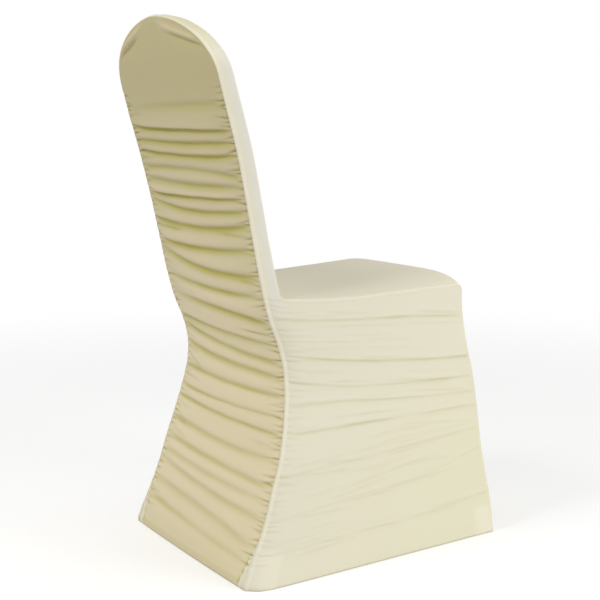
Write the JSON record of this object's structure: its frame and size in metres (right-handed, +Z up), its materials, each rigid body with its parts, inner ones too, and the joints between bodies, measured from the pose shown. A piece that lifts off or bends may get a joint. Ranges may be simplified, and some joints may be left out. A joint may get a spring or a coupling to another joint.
{
  "type": "ruched stretch chair cover",
  "caption": "Fitted ivory stretch cover for a banquet chair: domed back panel gathered from top to floor, smooth sides, seat and skirt, foot pockets at the corners.",
  "frame": {"origin": "on the floor under the middle of the cover's outer box, midway between the front hem and the back of the dome", "axes": "+Z up, -Y the way the seat and front skirt face, +Y the gathered back, +X the sitter's left"},
  "size_m": [0.4576, 0.6048, 0.9439],
  "materials": {
    "gathered_cloth": "matt stretch knit, gathered",
    "smooth_cloth": "matt stretch knit, taut",
    "side_cloth": "matt stretch knit, taut",
    "pocket_cloth": "matt stretch knit, second layer"
  },
  "bodies": {
    "root": {"back_panel": "gathered_cloth", "centre_panel": "smooth_cloth", "side_panel_right": "side_cloth", "side_panel_left": "side_cloth", "foot_pocket_back_right": "pocket_cloth", "foot_pocket_back_left": "pocket_cloth", "foot_pocket_front_right": "pocket_cloth", "foot_pocket_front_left": "pocket_cloth"}
  },
  "joints": []
}
